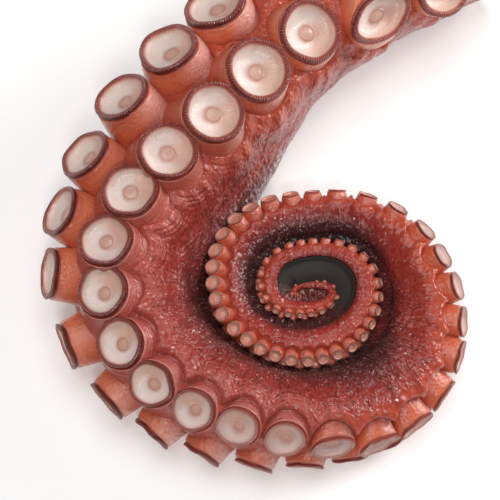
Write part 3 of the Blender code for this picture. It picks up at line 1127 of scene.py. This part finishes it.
class SkinNodes(Nodes):
    """The skin's node tree, with its mesh's named values at hand.

    `straight` is the place on the straightened arm, `oral` the turn off the suckers' side as
    a share of a half turn, `foot` the nearness to a sucker's foot and `station` the share of
    the arm's length from the base.
    """

    def __init__(self, name: str) -> None:
        """Read the named values."""
        super().__init__(name)
        self.straight = self.attribute("straight", "Vector")
        self.oral = self.attribute("oral")
        self.foot = self.attribute("foot")
        self.station = self.attribute("station")

    def within(self, zone: Zone) -> Socket:
        """Give how far a place lies in a zone: all the zone's spans multiplied."""
        along = [self.range(self.station, span) for span in zone.along]
        turned = [self.range(self.oral, span) for span in zone.turned]
        return self.times(*along, *turned)

    def threads(self, scale: Triple, distortion: float) -> Socket:
        """Give thin lines where noise crosses its middle: 1 - |2 noise - 1|."""
        drawn = self.stretch(self.straight, scale)
        noise = self.add("ShaderNodeTexNoise", Vector=drawn, Scale=1.0, Detail=2.0, Distortion=distortion)
        signed = self.math("MULTIPLY_ADD", noise.outputs["Fac"], 2.0, -1.0)
        return self.math("SUBTRACT", 1.0, self.math("ABSOLUTE", signed))

    def lines(self, lengthwise: Socket, across: Triple, along: Triple) -> Socket:
        """Give lines drawn across the arm, and along it where lengthwise is 1."""
        first = self.threads(across, 1.0)
        second = self.threads(along, 0.6)
        return self.math("MULTIPLY_ADD", self.math("SUBTRACT", second, first), lengthwise, first)

    def grains(self, scale: float) -> Socket:
        """Give rounded grains: 1 less the distance to the nearest cell's middle."""
        cells = self.add("ShaderNodeTexVoronoi", Vector=self.straight, Scale=scale)
        return self.math("SUBTRACT", 1.0, cells.outputs["Distance"])


@dataclass(frozen=True)
class SkinFinish:
    """Wet red skin, pinker by the suckers and purple-black on the far side, with painted shade
    in its creases and in the pit inside the curl, and painted glints.

    The shifts move the colours by side round the arm. `foot` spans read the nearness to a
    foot, `tops` spans the height of lines and grains, and `from` spans the station.
    """

    by_side: Stops = (
        (0.00, (0.46, 0.062, 0.030)), (0.30, (0.40, 0.044, 0.026)), (0.52, (0.31, 0.030, 0.022)),
        (0.64, (0.18, 0.020, 0.019)), (0.76, (0.065, 0.013, 0.015)), (1.00, (0.022, 0.010, 0.011)),
    )
    fold: Triple = (0.44, 0.088, 0.068)
    foot: Triple = (0.52, 0.085, 0.042)
    # Painted shade: a near-black red laid along thin crease lines, where the wrinkles lie in shade
    crease_shade: Triple = (0.075, 0.008, 0.009)
    glint: Triple = (0.76, 0.36, 0.31)
    # Painted highlight: pale pink dots on the pebbles, standing for glints of light
    highlight_dot: Triple = (0.88, 0.60, 0.55)
    lilac: Triple = (0.38, 0.13, 0.13)
    spot: Triple = (0.58, 0.40, 0.42)
    spot_ground: Triple = (0.07, 0.022, 0.028)
    # Painted shade: dark grey for the deep pit inside the innermost curl
    pit_shade: Triple = (0.045, 0.040, 0.036)
    # Painted highlight: the pale pink here stands for glints on the innermost curl, over the darker ground
    flesh: Triple = (0.62, 0.27, 0.24)
    flesh_ground: Triple = (0.13, 0.028, 0.026)

    flank: Zone = Zone((Span(0.24, 0.3, 0.6, 0.0),), (Span(0.46, 0.6),))
    patch: Zone = Zone((Span(0.16, 0.2), Span(0.24, 0.29, 1.0, 0.0)), (Span(0.58, 0.66),))
    sleeves: Zone = Zone((Span(0.2, 0.27), Span(0.44, 0.5, 1.0, 0.0)))
    lengthwise: Zone = Zone((Span(0.3, 0.38, 1.0, 0.0),), (Span(0.36, 0.5),))
    # Where the inner flank is painted as the pit's shade, without film or relief
    inside: Zone = Zone((Span(0.8, 0.825),), (Span(0.77, 0.81),))
    middle_shift: Zone = Zone((Span(0.5, 0.54), Span(0.58, 0.63, 0.24, 0.0)))
    base_shift: Span = Span(0.19, 0.27, 0.16, 0.0)
    curl_shift: Span = Span(0.76, 0.8, 0.0, 0.14)
    curl_calm: Span = Span(0.5, 0.6, 1.0, 0.35)
    highlight_dots_from: Span = Span(0.3, 0.36)
    flesh_from: Span = Span(0.9, 0.93, 0.0, 0.9)

    flank_cloud: Cloud = Cloud(5.0, 4.0, Span(0.42, 0.62))
    spot_cloud: Cloud = Cloud(6.5, 3.0, Span(0.5, 0.62))
    shine_cloud: Cloud = Cloud(1.4, 3.0, Span(0.38, 0.6, 0.15, 1.0))
    flesh_glint_cloud: Cloud = Cloud(13.0, 2.0, Span(0.52, 0.66))

    foot_colour: Span = Span(0.05, 0.85, 0.0, 0.58)
    foot_crease_shade: Span = Span(0.2, 0.7, 1.0, 0.3)
    foot_shine: Span = Span(0.1, 0.6, 1.0, 0.2)
    foot_ridge: Span = Span(0.1, 0.7, 1.0, 0.35)
    crease_shade_tops: Span = Span(0.9, 0.99, 0.0, 0.6)
    ridge_tops: Span = Span(0.955, 0.995)
    grain_tops: Span = Span(0.78, 0.86)
    highlight_dot_tops: Span = Span(0.83, 0.89)

    ridges: tuple[Triple, Triple] = ((6.2, 2.2, 2.2), (1.3, 4.4, 4.4))
    crease_shade_lines: tuple[Triple, Triple] = ((4.6, 1.7, 1.7), (0.9, 3.2, 3.2))
    grain_scale: float = 6.5
    highlight_dot_scale: float = 4.3
    ring_turns: float = 26.0
    drift: float = 0.25
    patch_share: float = 0.85
    sleeve_shine: float = 0.7
    glint_share: float = 0.42
    highlight_dot_share: float = 0.6
    ridge_depth: float = 0.8
    grain_depth: float = 0.35
    ring_depth: float = 0.1
    lengthwise_loss: float = 0.4
    film: Film = Film(0.45, 0.1, 1.0, 0.12, 1.42, 0.1, 1.2, (1.0, 0.25, 0.15))

    def base(self, nodes: SkinNodes) -> Socket:
        """Give the colour by side, with the flank by the cut base lilac and mottled."""
        drift = nodes.math("SUBTRACT", nodes.noise(nodes.straight, 0.9, 3.0), 0.5)
        side = nodes.math("MULTIPLY_ADD", drift, self.drift, nodes.oral)
        for shift in (
            nodes.range(nodes.station, self.base_shift),
            nodes.within(self.middle_shift),
            nodes.range(nodes.station, self.curl_shift),
        ):
            side = nodes.math("SUBTRACT", side, shift)
        colour = nodes.ramp(side, self.by_side)
        flank = nodes.times(nodes.within(self.flank), nodes.cloud(nodes.straight, self.flank_cloud))
        colour = nodes.mix(flank, colour, self.lilac)
        spots = nodes.mix(nodes.cloud(nodes.straight, self.spot_cloud), self.spot_ground, self.spot)
        return nodes.mix(nodes.times(nodes.within(self.patch), self.patch_share), colour, spots)

    def material(self) -> bpy.types.Material:
        """Make the skin's material."""
        nodes = SkinNodes("wet_skin")
        foot = nodes.foot
        sleeves = nodes.within(self.sleeves)
        lengthwise = nodes.within(self.lengthwise)
        inside = nodes.within(self.inside)
        curl = nodes.range(nodes.station, self.curl_calm)
        ridges = nodes.lines(lengthwise, *self.ridges)
        grains = nodes.grains(self.grain_scale)
        near = nodes.mix(sleeves, self.foot, self.fold)
        colour = nodes.mix(nodes.range(foot, self.foot_colour), self.base(nodes), near)
        # Painted shade: thin crease lines darken the colour, less near the feet and in the curl
        crease_shade_lines = nodes.range(nodes.lines(lengthwise, *self.crease_shade_lines), self.crease_shade_tops)
        deep = nodes.times(crease_shade_lines, curl, nodes.range(foot, self.foot_crease_shade))
        colour = nodes.mix(deep, colour, self.crease_shade)
        far = nodes.range(foot, self.foot_shine)
        bare = nodes.math("MAXIMUM", far, nodes.times(sleeves, self.sleeve_shine))
        patches = nodes.times(nodes.cloud(nodes.straight, self.shine_cloud), bare)
        # Painted highlights: the tops of lines and grains, and pale dots further along, lighten the colour
        # as glints
        lines = nodes.times(curl, nodes.range(ridges, self.ridge_tops))
        shine = nodes.math("MAXIMUM", lines, nodes.range(grains, self.grain_tops))
        colour = nodes.mix(nodes.times(shine, patches, self.glint_share), colour, self.glint)
        highlight_dots = nodes.range(nodes.grains(self.highlight_dot_scale), self.highlight_dot_tops)
        highlight_dots = nodes.times(highlight_dots, patches, nodes.range(nodes.station, self.highlight_dots_from), self.highlight_dot_share)
        colour = nodes.mix(highlight_dots, colour, self.highlight_dot)
        # Painted highlights: pink glints speckled over a dark ground by the tip
        flesh = nodes.mix(nodes.cloud(nodes.straight, self.flesh_glint_cloud), self.flesh_ground, self.flesh)
        # The pit is painted in shade, and by the tip in glints over a dark ground
        pit = nodes.mix(nodes.range(nodes.station, self.flesh_from), self.pit_shade, flesh)
        rough = nodes.math("SUBTRACT", 1.0, inside)
        calm = nodes.math("MULTIPLY_ADD", lengthwise, -self.lengthwise_loss, 1.0)
        height = nodes.times(rough, curl, nodes.range(foot, self.foot_ridge), calm, ridges)
        normal = nodes.bump(height, self.ridge_depth)
        normal = nodes.bump(nodes.times(rough, grains), self.grain_depth, normal)
        rings = nodes.math("SINE", nodes.times(foot, self.ring_turns))
        normal = nodes.bump(nodes.times(sleeves, rings), self.ring_depth, normal)
        return nodes.finish(nodes.mix(inside, colour, pit), normal, self.film, rough)


class SuckerNodes(Nodes):
    """The suckers' node tree, with their mesh's named values at hand.

    `zone` runs up the profile, `size` is the width as a share of the widest rim, `local` the
    place in the sucker, `ahead` and `over` the cosine and sine of the turn round it, and
    `sleeve` how far it stands in its collar.
    """

    def __init__(self, name: str) -> None:
        """Read the named values."""
        super().__init__(name)
        self.zone = self.attribute("zone")
        self.size = self.attribute("size")
        self.local = self.attribute("local", "Vector")
        spin = self.add("ShaderNodeSeparateXYZ", Vector=self.attribute("spin", "Vector"))
        self.ahead, self.over, self.sleeve = spin.outputs

    def between(self, low: float, high: float, soft: float) -> Socket:
        """Give 1 between two zones and 0 outside, with soft ends."""
        rise = self.range(self.zone, Span(low, low + soft))
        return self.times(rise, self.range(self.zone, Span(high - soft, high, 1.0, 0.0)))

    def side(self, ahead: float, over: float, span: Span) -> Socket:
        """Carry ahead X + over Y through a span, X and Y being the cosine and sine of the turn."""
        towards = self.math("MULTIPLY_ADD", self.over, over, self.times(self.ahead, ahead))
        return self.range(towards, span)

    def wave(self, count: float, drift: Socket, sway: float) -> Socket:
        """Give 0.5 + 0.5 sin(count turn + sway drift), the ridges round a sucker."""
        turn = self.math("ARCTAN2", self.over, self.ahead)
        phase = self.math("MULTIPLY_ADD", drift, sway, self.times(turn, count))
        return self.math("MULTIPLY_ADD", self.math("SINE", phase), 0.5, 0.5)


@dataclass(frozen=True)
class SuckerFinish:
    """Amber stalk, dark ridged rim and pale cup with a pale orange button, with painted sheen on
    the stalks and painted shade on one side of the cup.

    Bands are two zones and the softness of their ends. Sides are the weights of the cosine
    and the sine of the turn, and the span that their sum goes through.
    """

    name: str
    depth: float
    large: Stops = (
        (0.00, (0.44, 0.052, 0.028)), (0.06, (0.60, 0.110, 0.052)), (0.16, (0.74, 0.200, 0.098)),
        (0.22, (0.54, 0.095, 0.048)), (0.245, (0.20, 0.024, 0.017)), (0.270, (0.10, 0.013, 0.011)),
        (0.34, (0.13, 0.016, 0.012)), (0.40, (0.24, 0.030, 0.020)), (0.455, (0.34, 0.058, 0.040)),
        (0.480, (0.52, 0.17, 0.13)), (0.505, (0.74, 0.44, 0.37)), (0.54, (0.86, 0.69, 0.62)),
        (0.70, (0.88, 0.74, 0.69)), (0.75, (0.60, 0.33, 0.26)), (0.80, (0.56, 0.29, 0.22)),
        (0.84, (0.66, 0.39, 0.31)), (1.00, (0.68, 0.42, 0.34)),
    )
    middle: Stops = (
        (0.00, (0.44, 0.052, 0.028)), (0.10, (0.60, 0.110, 0.052)), (0.19, (0.66, 0.155, 0.078)),
        (0.240, (0.46, 0.075, 0.042)), (0.268, (0.15, 0.020, 0.016)), (0.30, (0.26, 0.045, 0.032)),
        (0.36, (0.50, 0.18, 0.14)), (0.43, (0.62, 0.33, 0.28)), (0.50, (0.70, 0.47, 0.42)),
        (0.62, (0.72, 0.53, 0.49)), (0.78, (0.60, 0.31, 0.24)), (1.00, (0.64, 0.38, 0.31)),
    )
    small: Stops = (
        (0.00, (0.46, 0.058, 0.030)), (0.15, (0.58, 0.105, 0.050)), (0.24, (0.54, 0.105, 0.060)),
        (0.29, (0.44, 0.085, 0.060)), (0.36, (0.76, 0.34, 0.26)), (0.46, (0.88, 0.54, 0.45)),
        (0.57, (0.84, 0.28, 0.19)), (0.70, (0.88, 0.38, 0.28)), (0.80, (0.92, 0.54, 0.44)),
        (1.00, (0.50, 0.15, 0.105)),
    )
    # The collar darkens at its top as painted shade in the gap between collar and rim
    collar: Stops = (
        (0.00, (0.40, 0.048, 0.030)), (0.12, (0.42, 0.058, 0.038)), (0.175, (0.46, 0.085, 0.062)),
        (0.195, (0.60, 0.230, 0.200)), (0.21, (0.42, 0.075, 0.055)), (0.24, (0.10, 0.012, 0.010)),
    )
    ridge_colour: Triple = (0.46, 0.11, 0.085)
    ray_colour: Triple = (0.66, 0.36, 0.31)
    # Painted shade: the cup turns peach on its side away from the light
    cup_side_shade: Triple = (0.72, 0.39, 0.28)
    collar_flank: Triple = (0.54, 0.21, 0.20)
    # Painted sheen: pale pink on the side of bare stalks that faces the light
    sheen_colour: Triple = (0.84, 0.52, 0.47)

    to_middle: Span = Span(0.3, 0.4)
    to_large: Span = Span(0.58, 0.7)
    rim_band: Triple = (0.25, 0.5, 0.03)
    cup_band: Triple = (0.5, 0.76, 0.05)
    wall_band: Triple = (0.03, 0.235, 0.06)
    cup_shade_side: tuple[float, float, Span] = (-0.5, 0.8, Span(-0.1, 0.9, 0.0, 0.75))
    crest_side: tuple[float, float, Span] = (-0.6, 0.8, Span(0.25, 1.0))
    tip_side: tuple[float, float, Span] = (0.8, 0.5, Span(0.55, 0.9))
    largest: Span = Span(0.84, 0.96, 0.0, 0.85)
    smallest: Span = Span(0.3, 0.42, 0.3, 0.0)
    middle_from: Span = Span(0.53, 0.57, 0.0, 0.6)
    middle_to: Span = Span(0.7, 0.76, 1.0, 0.0)
    sheen_cloud: Cloud = Cloud(14.0, 3.0, Span(0.35, 0.65, 0.45, 1.0))
    collar_top: Span = Span(0.19, 0.24, 1.0, 0.0)
    collar_over: Span = Span(0.1, 0.9, 0.0, 0.22)
    collar_foot: Span = Span(0.03, 0.15)
    stalk_top: Span = Span(0.2, 0.25, 1.0, 0.0)

    mottle: float = 0.035
    ridges: tuple[float, float] = (78.0, 9.0)
    rays: tuple[float, float] = (54.0, 7.0)
    ridge_share: float = 0.4
    ray_share: float = 0.2
    ridge_depth: float = 0.3
    ray_depth: float = 0.06
    stalk_depth: float = 0.45
    ring_turns: float = 260.0
    ring_depth: float = 0.05
    grain_depth: float = 0.12

    def sheen(self, nodes: SuckerNodes) -> Socket:
        """Give the share of a stalk's upper side painted pale and speckled as sheen.

        The largest and the smallest are pale towards the base of the arm and the crest, the
        middle ones on their side towards the tip.
        """
        size = nodes.size
        ends = nodes.math("ADD", nodes.range(size, self.largest), nodes.range(size, self.smallest))
        first = nodes.times(nodes.side(*self.crest_side), ends)
        middle = nodes.times(nodes.range(size, self.middle_from), nodes.range(size, self.middle_to))
        second = nodes.times(nodes.side(*self.tip_side), middle)
        bare = nodes.times(nodes.between(*self.wall_band), nodes.math("SUBTRACT", 1.0, nodes.sleeve))
        sheen_speckle = nodes.cloud(nodes.local, self.sheen_cloud)
        return nodes.times(bare, sheen_speckle, nodes.math("ADD", first, second))

    def material(self) -> bpy.types.Material:
        """Make the suckers' material."""
        nodes = SuckerNodes(self.name)
        zone, local = nodes.zone, nodes.local
        drift = nodes.noise(local, 3.0, 2.0)
        shifted = nodes.math("MULTIPLY_ADD", nodes.math("SUBTRACT", drift, 0.5), self.mottle, zone)
        colour = nodes.ramp(shifted, self.small)
        colour = nodes.mix(nodes.range(nodes.size, self.to_middle), colour, nodes.ramp(shifted, self.middle))
        colour = nodes.mix(nodes.range(nodes.size, self.to_large), colour, nodes.ramp(shifted, self.large))
        cup = nodes.between(*self.cup_band)
        ridge = nodes.times(nodes.between(*self.rim_band), nodes.wave(self.ridges[0], drift, self.ridges[1]))
        ray = nodes.times(cup, nodes.wave(self.rays[0], drift, self.rays[1]))
        colour = nodes.mix(nodes.times(ridge, self.ridge_share), colour, self.ridge_colour)
        colour = nodes.mix(nodes.times(ray, self.ray_share), colour, self.ray_colour)
        # Painted shade: one side of each cup is tinted darker peach, as if in its own shade
        colour = nodes.mix(nodes.times(cup, nodes.side(*self.cup_shade_side)), colour, self.cup_side_shade)
        sleeved = nodes.times(nodes.sleeve, nodes.range(zone, self.collar_top))
        flank = nodes.times(nodes.range(nodes.over, self.collar_over), nodes.range(zone, self.collar_foot))
        skin = nodes.mix(flank, nodes.ramp(zone, self.collar), self.collar_flank)
        colour = nodes.mix(sleeved, colour, skin)
        # Painted sheen: the lit side of bare stalks is mixed towards pale pink
        colour = nodes.mix(self.sheen(nodes), colour, self.sheen_colour)
        normal = nodes.bump(ridge, self.ridge_depth)
        normal = nodes.bump(ray, self.ray_depth, normal)
        pores = nodes.times(nodes.range(zone, self.stalk_top), nodes.noise(local, 9.0, 3.0))
        normal = nodes.bump(pores, self.stalk_depth, normal)
        rings = nodes.math("SINE", nodes.times(shifted, self.ring_turns))
        normal = nodes.bump(nodes.times(sleeved, rings), self.ring_depth, normal)
        normal = nodes.bump(nodes.noise(local, 16.0, 3.0), self.grain_depth, normal)
        film = Film(0.4, 0.2, 0.9, 0.14, 1.6, 0.35, self.depth, (1.0, 0.3, 0.15))
        return nodes.finish(colour, normal, film)


@dataclass(frozen=True)
class CutFinish:
    """Pale, moist flesh of the cut face with a darker nerve cord in its middle."""

    by_share: Stops = (
        (0.00, (0.42, 0.30, 0.24)), (0.06, (0.50, 0.36, 0.29)), (0.09, (0.80, 0.66, 0.58)),
        (0.80, (0.82, 0.68, 0.61)), (0.93, (0.70, 0.36, 0.30)), (1.00, (0.40, 0.10, 0.07)),
    )
    fibre_colour: Triple = (0.66, 0.44, 0.37)
    fibre_tops: Span = Span(0.4, 0.7, 0.0, 0.3)
    fibre_depth: float = 0.4
    film: Film = Film(0.42, 0.4, 0.4, 0.15, 1.6, 0.4, 3.0, (1.0, 0.5, 0.35))

    def material(self) -> bpy.types.Material:
        """Make the cut face's material."""
        nodes = SkinNodes("cut_flesh")
        fibre = nodes.noise(nodes.straight, 7.0, 4.0)
        colour = nodes.ramp(nodes.oral, self.by_share)
        colour = nodes.mix(nodes.range(fibre, self.fibre_tops), colour, self.fibre_colour)
        return nodes.finish(colour, nodes.bump(fibre, self.fibre_depth, strength=0.6), self.film)


@dataclass(frozen=True)
class SquareLight:
    """A square light, its place and size in metres and its power in watts."""

    name: str
    place: Triple
    size: float
    power: float
    colour: Triple


@dataclass(frozen=True)
class Stage:
    """Pale floor, soft studio light and the camera that looks down on the arm.

    One light is wide and hangs overhead, and the glints of two small ones show the film.
    """

    elevation: float = 66.0
    distance: float = 0.45
    lens: float = 100.0
    sensor: float = 36.0
    target: Triple = (-0.01036, -0.03134, 0.01165)
    floor_size: float = 6.0
    floor_colour: Triple = (0.93, 0.93, 0.925)
    floor_roughness: float = 0.6
    floor_glow: float = 0.235
    world_glow: float = 0.13
    lights: tuple[SquareLight, ...] = (
        SquareLight("overhead_light", (-0.1, 0.15, 1.3), 1.0, 8.6, (1.0, 1.0, 1.0)),
        SquareLight("front_light", (0.02, -0.62, 0.83), 0.16, 2.4, (1.0, 0.99, 0.97)),
        SquareLight("right_light", (0.82, 0.36, 0.38), 0.36, 6.0, (1.0, 0.99, 0.97)),
    )

    def build_floor(self) -> None:
        """Lay the floor under the arm."""
        half = 0.5 * self.floor_size
        corners = [(-half, -half, 0.0), (half, -half, 0.0), (half, half, 0.0), (-half, half, 0.0)]
        mesh = bpy.data.meshes.new("floor")
        mesh.from_pydata(corners, [], [(0, 1, 2, 3)])
        floor = bpy.data.objects.new("floor", mesh)
        bpy.context.scene.collection.objects.link(floor)
        nodes = Nodes("floor_white")
        nodes.feed(
            nodes.shader, Base_Color=(*self.floor_colour, 1.0), Roughness=self.floor_roughness,
            Emission_Color=WHITE, Emission_Strength=self.floor_glow,
        )
        mesh.materials.append(nodes.material)

    def build_lights(self) -> None:
        """Hang the lights, turned to the target, in a dim white world."""
        for square in self.lights:
            data = bpy.data.lights.new(square.name, "AREA")
            data.energy = square.power
            data.size = square.size
            data.color = square.colour
            light = bpy.data.objects.new(square.name, data)
            light.location = square.place
            towards = Vector(self.target) - Vector(square.place)
            light.rotation_euler = towards.to_track_quat("-Z", "Y").to_euler()
            bpy.context.scene.collection.objects.link(light)
        world = bpy.data.worlds.new("studio")
        world.use_nodes = True
        background = world.node_tree.nodes["Background"]
        background.inputs["Color"].default_value = WHITE
        background.inputs["Strength"].default_value = self.world_glow
        bpy.context.scene.world = world
        bpy.context.scene.view_settings.view_transform = "Standard"

    def build_camera(self) -> None:
        """Stand the camera at its elevation, looking along +Y at the target."""
        data = bpy.data.cameras.new("camera")
        data.lens = self.lens
        data.sensor_width = self.sensor
        camera = bpy.data.objects.new("camera", data)
        rise = math.radians(self.elevation)
        away = Vector((0.0, -math.cos(rise), math.sin(rise)))
        camera.location = Vector(self.target) + self.distance * away
        camera.rotation_euler = (0.5 * math.pi - rise, 0.0, 0.0)
        bpy.context.scene.collection.objects.link(camera)
        bpy.context.scene.camera = camera


def attach(piece: bpy.types.Object) -> None:
    """Let a piece ride on the arm's body."""
    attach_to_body(piece, BODY)


def main() -> None:
    """Build the skin, the suckers and the stage in that order."""
    logging.basicConfig(level=logging.INFO, format="%(name)s: %(message)s")
    route = Route()
    layout = SuckerLayout()
    suckers = layout.suckers(route)
    LOG.info("%d suckers on %.1f mm of arm", len(suckers), route.length)
    skin = ArmSkin().build(route, layout, suckers, [SkinFinish().material(), CutFinish().material()])
    attach(skin)
    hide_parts(CAD_NODE)
    finish = SuckerFinish("sucker_flesh", 2.0).material()
    small_finish = SuckerFinish("small_sucker_flesh", 0.4).material()
    shape = SuckerShape()
    for group, flesh in (
        (SuckerGroup("large_suckers_upper", 99.0, 14.0, 128, 2, (Row.UPPER,)), finish),
        (SuckerGroup("large_suckers_lower", 99.0, 14.0, 128, 2, (Row.LOWER,)), finish),
        (SuckerGroup("middle_suckers", 14.0, 9.0, 96, 1), finish),
        (SuckerGroup("small_suckers", 9.0, 4.6, 40, 1), small_finish),
        (SuckerGroup("tiny_suckers", 4.6, 0.0, 20, 0), small_finish),
    ):
        attach(group.build(suckers, shape, flesh))
    stage = Stage()
    stage.build_floor()
    stage.build_lights()
    stage.build_camera()


if __name__ == "__main__":
    main()
